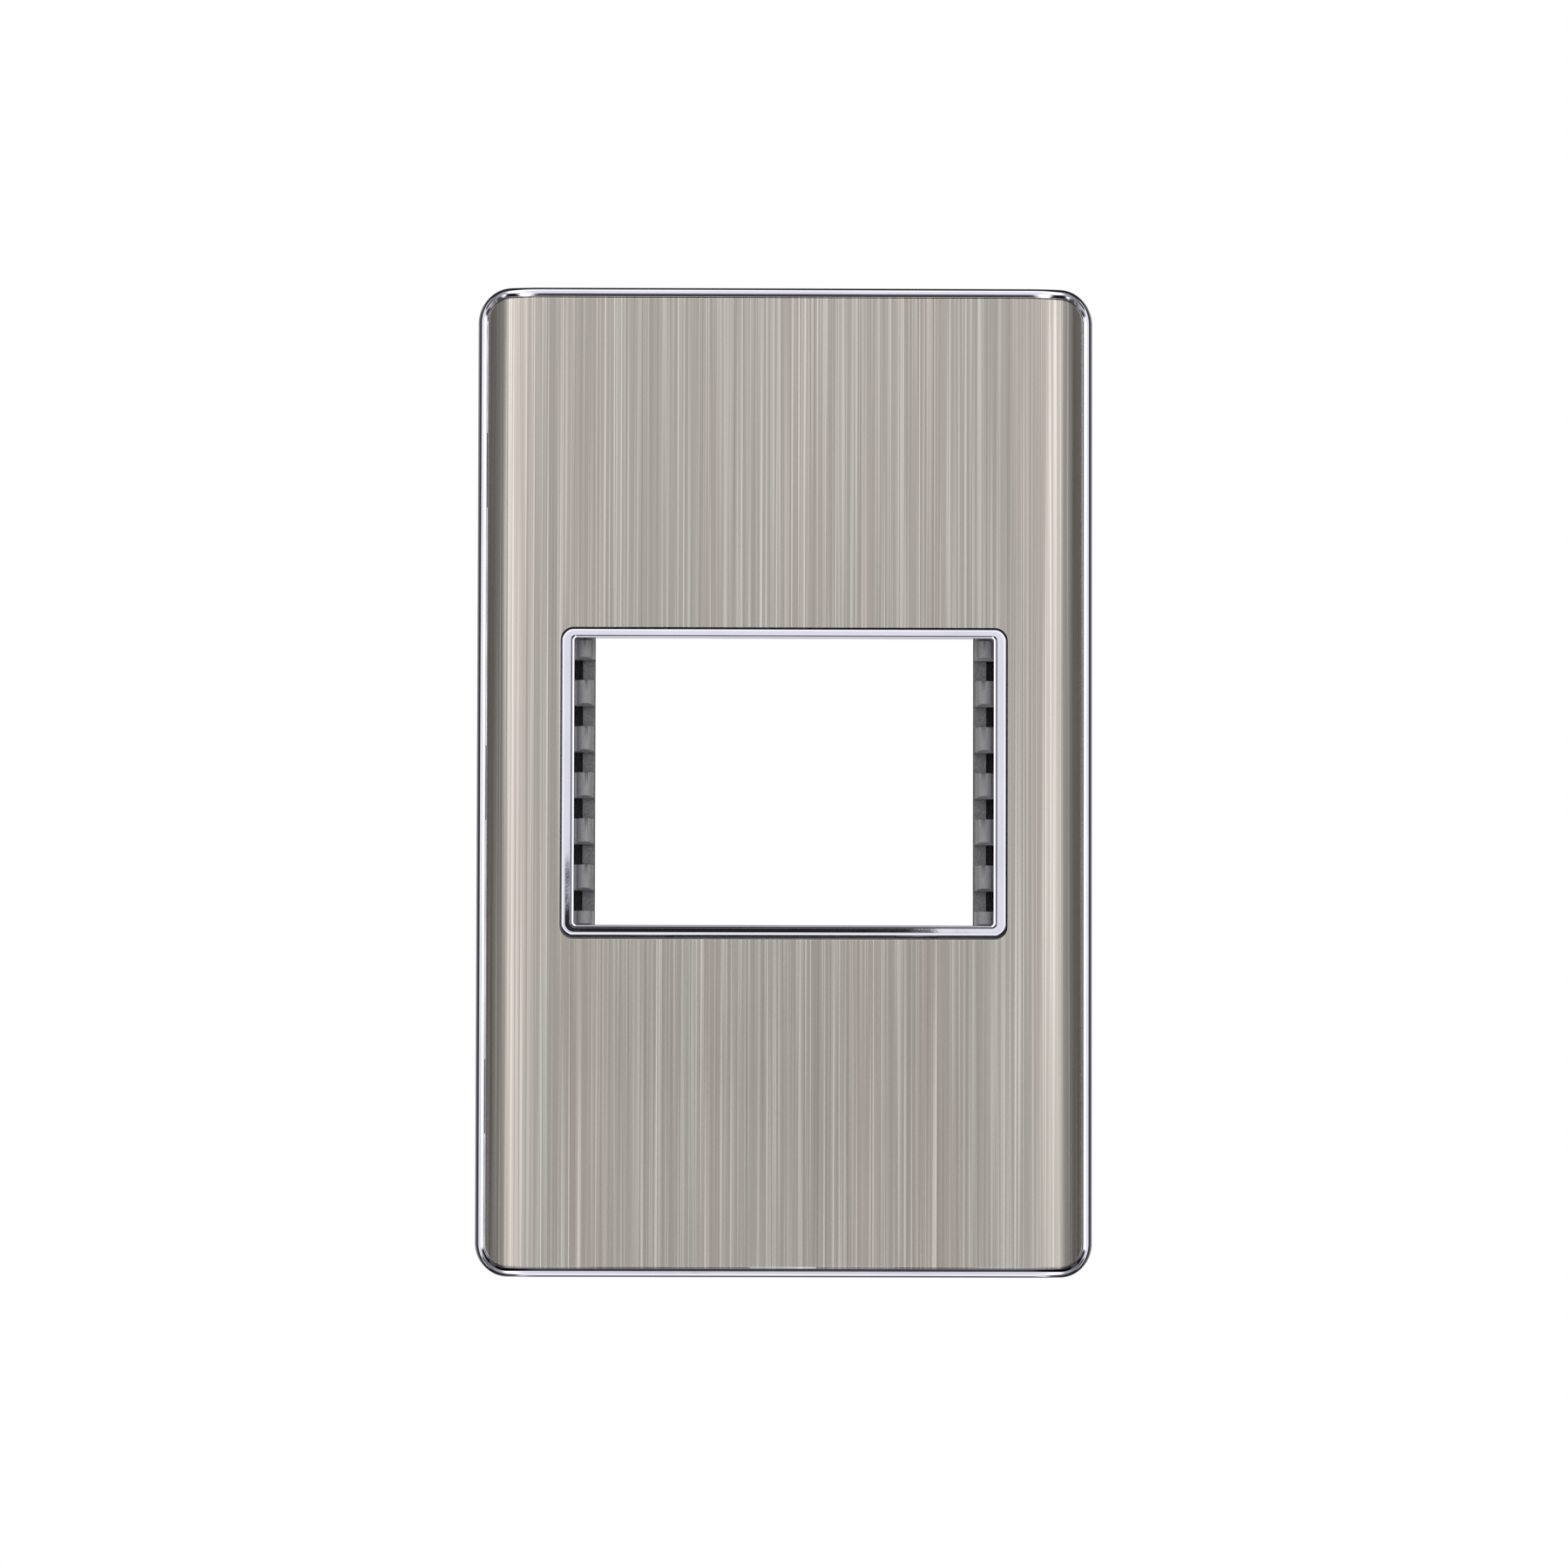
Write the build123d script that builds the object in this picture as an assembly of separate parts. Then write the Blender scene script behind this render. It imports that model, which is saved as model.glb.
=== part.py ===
from build123d import *
import math
import os

# Switch plate: the snap-on front of a light switch, upright, for a one-gang box.
# X is the width, Z is up, and -Y is the way out of the wall. The origin is the middle
# of the module opening, on the plane of the wall. Millimetres.
# "Depth" below always means the distance in front of the wall, so a depth d is Y = -d.

# Whole plate
plate_width = 74.4
plate_height = 119.2
plate_depth = 9.0          # wall to the flat front of the steel
corner_radius = 4.0
side_roll_run = 8.0        # how far in from each long side the front starts to roll down
side_roll_drop = 3.4       # how much lower the front is at the very side

# Chrome-plated rim
rim_width = 1.2
rim_proud = 0.3            # the rim stands this much above the steel
rim_outer_round = 0.3
rim_inner_bevel = 0.4
rim_wall_gap = 0.3         # its back edge stays clear of the wall

# Brushed steel face
sheet_thickness = 0.6
sheet_edge_gap = 0.1
bond_gap = 0.1             # the bonding layer between the steel and the carrier

# Module opening and its chrome-plated bezel
opening_width = 50.5
opening_height = 34.5
opening_corner_radius = 0.3
bezel_band = 1.5
bezel_corner_radius = 1.4
bezel_proud = 0.35
bezel_edge_round = 0.3
bezel_inner_round = 0.12
bezel_draft = 4.5          # degrees; its inner walls open out towards the front
bezel_seat = 3.0           # from the flat front down to the ledge that the bezel sits on
bezel_gap = 0.18           # the dark line between the bezel and the steel
bezel_fit = 0.12           # the bezel in its pocket

# The bezel's snap legs, two above and two below the opening
leg_spread = 32.0
leg_width = 5.0
leg_thickness = 0.9
leg_reach = 1.1            # how far a leg goes on behind the ledge
leg_root = 0.4             # how far a leg runs up into the bezel's bar
hook_catch = 0.55
hook_height = 0.9

# Moulded carrier
carrier_skin = 1.6         # its wall behind the steel
carrier_wall = 1.4         # its outer walls and the collar's
carrier_fit = 0.1          # the carrier inside the rim
ledge_thickness = 1.4
collar_wall_gap = 1.0      # the collar's back edge stays clear of the wall
collar_setback = 0.45      # the collar above and below the opening, behind the bezel's edge
rib_thickness = 1.0
rib_height = 1.8
rib_pitch = 11.5

# Snap beads that hold the rim on the carrier
bead_radius = 0.8
bead_catch = 0.4
bead_length = 9.0
bead_depth = 2.6
bead_spread_long = 76.0    # between the outer beads on a long side
bead_spread_short = 36.0   # between the two beads on a short side

# Module rails at the left and right of the opening
clear_width = 45.9         # between the rails
rail_step = 0.22           # the rail's foot stands this much further in than its nose
rail_crest_drop = 2.3      # from the flat front down to the crest of the nose
rail_nose_height = 1.0     # crest above the edges of the nose
rail_flank = 0.7           # from the edges of the nose down to the window floor
window_count = 6
window_pitch = 5.575
window_height = 2.45
window_shift = -0.43       # the row of windows sits a little below the middle
window_roof_slope = 20.0   # degrees; the roof of each window rises towards the front
slot_width = 1.5           # the deep slot in the window floor
slot_showing = 0.85        # as much of it as shows inside the bezel
slot_floor = 0.8

# Ratchet posts that clip on the box's mounting frame
post_spread_x = 40.0
post_spread_z = 92.0
post_width = 6.0
post_thickness = 2.0
post_wall_gap = 0.5
tooth_count = 4
tooth_pitch = 1.1
tooth_height = 0.5
gusset_length = 3.0
gusset_height = 2.4

# Notch in the lower edge, for the screwdriver that lifts the plate off
notch_width = 8.0
notch_depth = 1.4

# Worked out from the sizes above
side_roll_radius = (side_roll_run**2 + side_roll_drop**2) / (2 * side_roll_drop)
flat_width = plate_width - 2 * side_roll_run
sheet_inset = rim_width + sheet_edge_gap
carrier_inset = rim_width + carrier_fit
carrier_front = plate_depth - sheet_thickness - bond_gap
carrier_back_of_skin = carrier_front - carrier_skin
ledge_depth = plate_depth - bezel_seat
ledge_underside = ledge_depth - ledge_thickness
bezel_width = opening_width + 2 * bezel_band
bezel_height = opening_height + 2 * bezel_band
collar_inner_z = opening_height / 2 + collar_setback
collar_outer_z = collar_inner_z + carrier_wall
nose_inner_x = clear_width / 2 + rail_step
nose_outer_x = opening_width / 2 - bezel_fit
crest_depth = plate_depth - rail_crest_drop
nose_edge_depth = crest_depth - rail_nose_height
window_floor_depth = nose_edge_depth - rail_flank
slot_inner_x = opening_width / 2 - slot_showing
collar_outer_x = slot_inner_x + slot_width + rib_thickness
overrun = 1.0              # how far a cutting shape runs past the face it cuts


def slab(shape, back, front):
    """Extrudes a flat shape, drawn as seen from the front, between two depths."""
    return extrude(Plane.XZ.offset(back) * shape, front - back)


def outline(inset):
    """The plate's rounded outline, moved in by an inset."""
    radius = max(corner_radius - inset, 0.3)
    return RectangleRounded(plate_width - 2 * inset, plate_height - 2 * inset, radius)


def rolled_block(setback):
    """Everything behind the plate's front surface, with that surface set back."""
    radius = side_roll_radius - setback
    front = plate_depth - setback
    width = flat_width + 2 * radius
    section = Pos(0, (radius - front) / 2) * Rectangle(width, front + radius)
    section = fillet(section.vertices().group_by(Axis.Y)[0], radius)
    return extrude(section, plate_height / 2, both=True)


def inset_at(point):
    """How far in from the plate's outline a point lies."""
    x = abs(point.X) - (plate_width / 2 - corner_radius)
    z = abs(point.Z) - (plate_height / 2 - corner_radius)
    if x > 0 and z > 0:
        return corner_radius - math.hypot(x, z)
    return corner_radius - max(x, z)


def front_edges(ring, inset):
    """The edges round a ring's front that follow the plate's outline at one inset."""
    found = []
    for edge in ring.edges():
        middle = edge @ 0.5
        along_depth = abs((edge % 0.5).Y) > 0.99
        behind = middle.Y > -(plate_depth - side_roll_drop) / 2
        if not along_depth and not behind and abs(inset_at(middle) - inset) < 0.02:
            found.append(edge)
    return found


def both_sides(shape):
    """A shape and its mirror image on the other side of the opening."""
    return shape + mirror(shape, Plane.YZ)


def top_and_bottom(shape):
    return shape + mirror(shape, Plane.XY)


def bead_places():
    """Middle points of the snap beads: (x, z, runs upright)."""
    side = plate_width / 2 - carrier_inset
    end = plate_height / 2 - carrier_inset
    sink = bead_radius - bead_catch
    places = []
    for sign in (-1, 1):
        for share in (-0.5, 0, 0.5):
            places.append((sign * (side - sink), share * bead_spread_long, True))
        for share in (-0.5, 0.5):
            places.append((share * bead_spread_short, sign * (end - sink), False))
    return places


def beads(extra):
    """The snap beads, or with extra the grooves that they click into."""
    solids = []
    for x, z, upright in bead_places():
        bead = Cylinder(bead_radius + extra, bead_length + 2 * extra)
        if not upright:
            bead = Rot(0, 90, 0) * bead
        solids.append(Pos(x, -bead_depth, z) * bead)
    return solids


def pry_notch():
    shape = Rectangle(notch_width, 2 * (carrier_inset + carrier_wall) + overrun)
    return slab(Pos(0, -plate_height / 2) * shape, -overrun, notch_depth)


def make_rim():
    """The frame round the plate. It follows the flat front and both rolled sides."""
    rim = rolled_block(-rim_proud) & slab(outline(0), rim_wall_gap, plate_depth + rim_proud)
    rim -= slab(outline(rim_width), -overrun, plate_depth + overrun)
    rim = fillet(front_edges(rim, 0), rim_outer_round)
    rim = chamfer(front_edges(rim, rim_width), rim_inner_bevel)
    for groove in beads(carrier_fit):
        rim -= groove
    return rim - pry_notch()


def make_face_sheet():
    """The steel face: flat, rolled down along both long sides, with one cut-out."""
    sheet = rolled_block(0) - rolled_block(sheet_thickness)
    sheet &= slab(outline(sheet_inset), 0, plate_depth)
    cut = RectangleRounded(
        bezel_width + 2 * bezel_gap,
        bezel_height + 2 * bezel_gap,
        bezel_corner_radius + bezel_gap,
    )
    return sheet - slab(cut, 0, plate_depth + overrun)


def bezel_leg():
    """One snap leg above the opening, with a hook that faces outwards."""
    inner = collar_inner_z
    outer = inner + leg_thickness
    tip = ledge_underside - leg_reach - hook_height
    shelf = ledge_underside - bezel_fit
    profile = Polyline(
        (-(ledge_depth + leg_root), inner),
        (-tip, inner),
        (-tip, outer - hook_catch / 2),
        (-(shelf - hook_height / 3), outer + hook_catch),
        (-shelf, outer + hook_catch),
        (-shelf, outer),
        (-(ledge_depth + leg_root), outer),
        close=True,
    )
    leg = extrude(Plane.YZ * make_face(profile), leg_width / 2, both=True)
    return Pos(leg_spread / 2, 0, 0) * leg


def make_bezel():
    """The bright frame round the opening, standing a little proud of the steel."""
    front = plate_depth + bezel_proud
    ring = slab(RectangleRounded(bezel_width, bezel_height, bezel_corner_radius), ledge_depth, front)
    hole = RectangleRounded(opening_width, opening_height, opening_corner_radius)
    ring -= extrude(Plane.XZ.offset(ledge_depth) * hole, front - ledge_depth, taper=-bezel_draft)
    land = ring.faces().sort_by(Axis.Y)[0]
    ring = fillet(land.outer_wire().edges(), bezel_edge_round)
    land = ring.faces().sort_by(Axis.Y)[0]
    ring = fillet(land.inner_wires()[0].edges(), bezel_inner_round)
    return ring + top_and_bottom(both_sides(bezel_leg()))


def window_heights():
    """Z of the middle of each rail window, from the lowest up."""
    middle = (window_count - 1) / 2
    return [window_shift + (i - middle) * window_pitch for i in range(window_count)]


def rail_nose():
    """The convex front of the right-hand rail, before its windows are cut."""
    middle_x = (nose_inner_x + nose_outer_x) / 2
    profile = Polyline(
        (nose_inner_x, -nose_edge_depth),
        (nose_inner_x, -(window_floor_depth - overrun)),
        (nose_outer_x, -(window_floor_depth - overrun)),
        (nose_outer_x, -nose_edge_depth),
    )
    front = ThreePointArc(
        (nose_outer_x, -nose_edge_depth),
        (middle_x, -crest_depth),
        (nose_inner_x, -nose_edge_depth),
    )
    nose = extrude(make_face(profile + front), collar_inner_z, both=True)
    bezel_space = Rectangle(bezel_width, bezel_height)
    bezel_space -= Rectangle(opening_width, opening_height - 2 * bezel_fit)
    return nose - slab(bezel_space, ledge_depth, plate_depth)


def rail_window(z):
    """What one window takes out of the right-hand rail: a pocket and a deep slot."""
    low = z - window_height / 2
    high = z + window_height / 2
    front = crest_depth + overrun
    rise = (front - nose_edge_depth) * math.tan(math.radians(window_roof_slope))
    profile = Polyline(
        (-window_floor_depth, low),
        (-front, low),
        (-front, high + rise),
        (-nose_edge_depth, high),
        (-window_floor_depth, high),
        close=True,
    )
    pocket_width = nose_outer_x - nose_inner_x + overrun
    pocket = extrude(Plane.YZ.offset(nose_inner_x - overrun) * make_face(profile), pocket_width + overrun)
    slot = Pos(slot_inner_x + slot_width / 2, z) * Rectangle(slot_width, window_height)
    return pocket, slab(slot, collar_wall_gap + slot_floor, window_floor_depth + overrun)


def land_core(z):
    """A hollow from the back, behind a stretch of rail between two windows."""
    height = window_pitch - window_height - rib_thickness
    shape = Pos(slot_inner_x + slot_width / 2, z) * Rectangle(slot_width, height)
    return slab(shape, 0, window_floor_depth - rib_thickness)


def make_collar():
    """The walls round the opening: the bezel's ledge, and both rails behind it."""
    upper = RectangleRounded(
        bezel_width + 2 * (bezel_fit + carrier_wall),
        bezel_height + 2 * (bezel_fit + carrier_wall),
        bezel_corner_radius + bezel_fit + carrier_wall,
    )
    lower = Rectangle(2 * collar_outer_x, 2 * collar_outer_z)
    collar = slab(upper, ledge_underside, carrier_front - carrier_skin / 2)
    collar += slab(lower, collar_wall_gap, ledge_underside + ledge_thickness / 2)
    return collar


def make_opening_cuts():
    """The bezel's pocket, the way through between the rails, and the legs' slots."""
    pocket = RectangleRounded(
        bezel_width + 2 * bezel_fit,
        bezel_height + 2 * bezel_fit,
        bezel_corner_radius + bezel_fit,
    )
    through = Rectangle(clear_width, 2 * collar_inner_z)
    cuts = slab(pocket, ledge_depth, plate_depth) + slab(through, -overrun, plate_depth)
    leg_top = collar_inner_z + leg_thickness + bezel_fit
    wall_top = collar_outer_z + overrun
    leg_tip = ledge_underside - leg_reach - hook_height
    width = leg_width + 2 * bezel_fit
    narrow = Pos(leg_spread / 2, leg_top / 2) * Rectangle(width, leg_top)
    wide = Pos(leg_spread / 2, wall_top / 2) * Rectangle(width, wall_top)
    slots = slab(narrow, ledge_underside - overrun, ledge_depth + overrun)
    slots += slab(wide, leg_tip - 2 * bezel_fit, ledge_underside)
    return cuts + top_and_bottom(both_sides(slots))


def make_ribs():
    """Low stiffening ribs behind the skin, upright ones and one across each field."""
    back = carrier_back_of_skin - rib_height
    front = carrier_back_of_skin + carrier_skin / 2
    field_low = opening_height / 2 + bezel_band
    field_middle = (field_low + plate_height / 2) / 2
    count = int(flat_width / 2 / rib_pitch)
    ribs = []
    for i in range(-count, count + 1):
        upright = Pos(i * rib_pitch, 0) * Rectangle(rib_thickness, plate_height)
        ribs.append(slab(upright, back, front))
    for z in (-field_middle, 0, field_middle):
        ribs.append(slab(Pos(0, z) * Rectangle(plate_width, rib_thickness), back, front))
    return Solid.fuse(*[rib.solid() for rib in ribs])


def ratchet_post():
    """One clip post above the opening, on the right, with saw teeth on its top side."""
    root = carrier_back_of_skin + carrier_skin / 2
    low = post_spread_z / 2 - post_thickness / 2
    high = post_spread_z / 2 + post_thickness / 2
    points = [(-root, low), (-post_wall_gap, low), (-post_wall_gap, high - tooth_height)]
    for i in range(tooth_count):
        depth = post_wall_gap + i * tooth_pitch
        points.append((-(depth + tooth_pitch), high))
        points.append((-(depth + tooth_pitch), high - tooth_height))
    points.append((-root, high - tooth_height))
    post = extrude(Plane.YZ * make_face(Polyline(*points, close=True)), post_width / 2, both=True)
    gusset_profile = Polyline(
        (-root, low),
        (-(carrier_back_of_skin - gusset_height), low),
        (-carrier_back_of_skin, low - gusset_length),
        (-root, low - gusset_length),
        close=True,
    )
    gusset = extrude(Plane.YZ * make_face(gusset_profile), rib_thickness / 2, both=True)
    return Pos(post_spread_x / 2, 0, 0) * (post + gusset)


def make_carrier():
    """The grey moulding that carries the steel, the bezel and the module rails."""
    back_setback = plate_depth - carrier_back_of_skin
    envelope = rolled_block(plate_depth - carrier_front) & slab(outline(carrier_inset), 0, plate_depth)
    hollow = rolled_block(back_setback)
    hollow &= slab(outline(carrier_inset + carrier_wall), -overrun, plate_depth)
    carrier = envelope - hollow
    carrier += make_ribs() & envelope
    carrier += top_and_bottom(both_sides(ratchet_post()))
    collar = make_collar()
    within = Rectangle(bezel_width, bezel_height)
    carrier -= slab(within, 0, carrier_back_of_skin)
    carrier += collar
    carrier -= make_opening_cuts()
    carrier += both_sides(rail_nose())
    for z in window_heights():
        for cut in rail_window(z):
            carrier -= both_sides(cut)
    for z in window_heights()[1:]:
        carrier -= both_sides(land_core(z - window_pitch / 2))
    for bead in beads(0):
        carrier += bead
    return carrier - pry_notch()


def save(shape, node):
    export_step(shape, "parts/" + node + ".step")
    print(node, "solids", len(shape.solids()), "volume", round(shape.volume, 1))


os.makedirs("parts", exist_ok=True)
save(make_rim(), "rim")
save(make_face_sheet(), "face_sheet")
save(make_bezel(), "bezel")
save(make_carrier(), "carrier")
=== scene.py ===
import bpy
import bmesh
import math
from mathutils import Matrix, Vector


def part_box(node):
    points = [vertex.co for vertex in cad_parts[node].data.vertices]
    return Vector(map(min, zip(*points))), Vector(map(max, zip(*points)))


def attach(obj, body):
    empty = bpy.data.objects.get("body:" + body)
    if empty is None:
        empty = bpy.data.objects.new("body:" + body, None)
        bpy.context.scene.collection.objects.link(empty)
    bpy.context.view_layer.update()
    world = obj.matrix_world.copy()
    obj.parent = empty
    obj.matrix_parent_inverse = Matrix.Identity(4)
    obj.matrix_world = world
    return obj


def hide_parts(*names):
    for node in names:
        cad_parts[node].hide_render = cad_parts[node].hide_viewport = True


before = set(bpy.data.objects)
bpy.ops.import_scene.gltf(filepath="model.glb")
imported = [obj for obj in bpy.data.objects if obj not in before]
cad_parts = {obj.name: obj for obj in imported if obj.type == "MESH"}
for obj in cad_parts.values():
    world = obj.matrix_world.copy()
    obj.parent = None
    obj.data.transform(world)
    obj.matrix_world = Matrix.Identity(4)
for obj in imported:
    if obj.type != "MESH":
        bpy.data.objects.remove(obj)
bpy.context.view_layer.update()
print("frame loaded:", sorted(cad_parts))

mm = 0.001
scene = bpy.context.scene

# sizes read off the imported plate; a depth is a distance in front of the wall
rimLow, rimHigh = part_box("rim")
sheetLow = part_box("face_sheet")[0]
bezelLow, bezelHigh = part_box("bezel")
plateWidth = rimHigh.x - rimLow.x
plateHeight = rimHigh.z - rimLow.z
steelFront = -sheetLow.y
rimFront = -rimLow.y
rimBack = -rimHigh.y
bezelFront = -bezelLow.y

# the front's roll down at both long sides, which the rim and the steel share
roll = {
    "run": 8.0 * mm,
    "drop": 3.4 * mm,
}
rollRadius = (roll["run"] ** 2 + roll["drop"] ** 2) / (2 * roll["drop"])
flatHalf = plateWidth / 2 - roll["run"]


# small helpers for node trees and meshes

def plug(tree, socket, value):
    if isinstance(value, bpy.types.NodeSocket):
        tree.links.new(value, socket)
    else:
        socket.default_value = value


def add(tree, kind, wires=None, **props):
    node = tree.nodes.new(kind)
    for name, value in props.items():
        setattr(node, name, value)
    for name, value in (wires or {}).items():
        plug(tree, node.inputs[name], value)
    return node


def calc(tree, operation, *values):
    node = add(tree, "ShaderNodeMath", operation=operation)
    for socket, value in zip(node.inputs, values):
        plug(tree, socket, value)
    return node.outputs[0]


def ease(tree, value, low, high):
    # 0 at low, 1 at high, smooth between
    wires = {"Value": value, "From Min": low, "From Max": high}
    return add(tree, "ShaderNodeMapRange", wires, interpolation_type="SMOOTHSTEP").outputs[0]


def ramp(tree, value, stops):
    node = add(tree, "ShaderNodeValToRGB", {"Fac": value})
    elements = node.color_ramp.elements
    while len(elements) < len(stops):
        elements.new(0.5)
    for element, (position, colour) in zip(elements, stops):
        element.position = position
        element.color = colour
    return node.outputs["Color"]


def newGroup(name, kind, inputs, outputs):
    tree = bpy.data.node_groups.new(name, kind)
    for socketName, socketType, value in inputs:
        socket = tree.interface.new_socket(socketName, in_out="INPUT", socket_type=socketType)
        if value is not None:
            socket.default_value = value
    for socketName, socketType in outputs:
        tree.interface.new_socket(socketName, in_out="OUTPUT", socket_type=socketType)
    return tree, tree.nodes.new("NodeGroupInput").outputs, tree.nodes.new("NodeGroupOutput").inputs


def newMaterial(name):
    material = bpy.data.materials.new(name)
    material.use_nodes = True
    tree = material.node_tree
    return material, tree, tree.nodes["Principled BSDF"]


def place(tree, group, values):
    node = add(tree, "ShaderNodeGroup", node_tree=group)
    for name, value in values.items():
        plug(tree, node.inputs[name], value)
    return node.outputs


def newPiece(name, mesh):
    piece = bpy.data.objects.new(name, mesh)
    scene.collection.objects.link(piece)
    return piece


def flattenModifiers(piece):
    # the modifiers' result becomes the piece's own plain mesh
    graph = bpy.context.evaluated_depsgraph_get()
    mesh = bpy.data.meshes.new_from_object(piece.evaluated_get(graph))
    piece.modifiers.clear()
    old = piece.data
    piece.data = mesh
    mesh.name = piece.name
    bpy.data.meshes.remove(old)


def softShade(piece, degrees):
    mesh = piece.data
    mesh.polygons.foreach_set("use_smooth", [True] * len(mesh.polygons))
    mesh.set_sharp_from_angle(angle=math.radians(degrees))


def weighShade(piece):
    # large flat faces keep their own direction where they meet narrow curved ones
    modifier = piece.modifiers.new("weigh", "WEIGHTED_NORMAL")
    modifier.keep_sharp = True
    flattenModifiers(piece)


# shader effects that several finishes use

def buildHandlingMarks():
    # faint wipes, fine specks and the slow waves of a moulded or pressed surface
    tree, given, result = newGroup(
        "handlingMarks",
        "ShaderNodeTree",
        [
            ("Wipe Size", "NodeSocketFloat", 0.02),
            ("Speck Size", "NodeSocketFloat", 0.0006),
            ("Wave Size", "NodeSocketFloat", 0.005),
        ],
        [("Wipes", "NodeSocketFloat"), ("Specks", "NodeSocketFloat"), ("Waves", "NodeSocketFloat")],
    )
    where = add(tree, "ShaderNodeTexCoord").outputs["Object"]
    # each has its size, its detail, and the noise at which it begins and is full
    for name, size, detail, low, high in (
        ("Wipes", "Wipe Size", 3.0, 0.35, 0.7),
        ("Specks", "Speck Size", 2.0, 0.3, 0.7),
        ("Waves", "Wave Size", 0.0, 0.0, 1.0),
    ):
        scale = calc(tree, "DIVIDE", 1.0, given[size])
        noise = add(tree, "ShaderNodeTexNoise", {"Vector": where, "Scale": scale, "Detail": detail})
        tree.links.new(ease(tree, noise.outputs["Fac"], low, high), result[name])
    return tree


def buildGrainLines():
    # long lines up the plate, as sheet steel is brushed: soft ones, and hairs with crisp sides
    tree, given, result = newGroup(
        "grainLines",
        "ShaderNodeTree",
        [
            ("Line Width", "NodeSocketFloat", 0.0005),
            ("Line Length", "NodeSocketFloat", 0.1),
            ("Seed", "NodeSocketFloat", 0.0),
        ],
        [("Lines", "NodeSocketFloat"), ("Hairs", "NodeSocketFloat")],
    )
    where = add(tree, "ShaderNodeTexCoord").outputs["Object"]
    split = add(tree, "ShaderNodeSeparateXYZ", {"Vector": where}).outputs
    across = calc(tree, "DIVIDE", split["X"], given["Line Width"])
    along = calc(tree, "DIVIDE", split["Z"], given["Line Length"])
    apart = 7.31      # takes one hair far enough from the next for their shades to differ
    fineShare = 0.6
    hair = calc(tree, "MULTIPLY", calc(tree, "FLOOR", across), apart)
    for name, sideways in (("Lines", across), ("Hairs", hair)):
        spot = add(tree, "ShaderNodeCombineXYZ", {"X": sideways, "Y": given["Seed"], "Z": along}).outputs[0]
        noise = add(tree, "ShaderNodeTexNoise", {"Vector": spot, "Scale": 1.0, "Detail": 1.0})
        noise.inputs["Roughness"].default_value = fineShare
        tree.links.new(noise.outputs["Fac"], result[name])
    return tree


handlingMarks = buildHandlingMarks()
grainLines = buildGrainLines()


# finishes

bumpHeight = 0.02 * mm


def addMarks(tree, finish):
    return place(tree, handlingMarks, {
        "Wipe Size": finish["wipeSize"],
        "Speck Size": finish["speckSize"],
        "Wave Size": finish["waveSize"],
    })


def addRoughness(tree, shader, base, wipes, finish):
    # a little rougher where the surface has been wiped
    rough = calc(tree, "MULTIPLY_ADD", wipes, finish["wipeRoughness"], base)
    plug(tree, shader.inputs["Roughness"], rough)


def addBump(tree, shader, height, strength):
    bump = add(tree, "ShaderNodeBump", {"Height": height, "Strength": strength, "Distance": bumpHeight})
    plug(tree, shader.inputs["Normal"], bump.outputs["Normal"])


steelFinish = {
    "shade": (0.38, 0.351, 0.32, 1.0),
    "tone": (0.49, 0.456, 0.421, 1.0),
    "glint": (0.82, 0.785, 0.738, 1.0),
    "shadeAt": 0.25,           # where the summed grain reaches each of these three
    "toneAt": 0.52,
    "glintAt": 0.80,
    "pinkDrift": (1.015, 0.992, 0.99, 1.0),
    "greenDrift": (0.985, 1.008, 1.0, 1.0),
    "pinkAt": 0.42,
    "greenAt": 0.58,
    # grain in four layers: how wide a line is, how far it runs, and its seed
    "hair": (0.14 * mm, 0.09, 12.3),
    "line": (0.3 * mm, 0.12, 7.7),
    "band": (1.6 * mm, 0.3, 3.1),
    "drift": (7.0 * mm, 0.3, 21.0),
    "lineShare": 0.15,         # what the softer layers add to the hairs
    "bandShare": 0.2,
    "hairBump": 0.4,
    "bumpStrength": 0.4,
    "roughness": 0.2,
    "roughnessSpread": 0.08,
    "wipeRoughness": 0.03,
    "wipeSize": 0.03,
    "speckSize": 0.5 * mm,
    "waveSize": 0.02,
}


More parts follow.
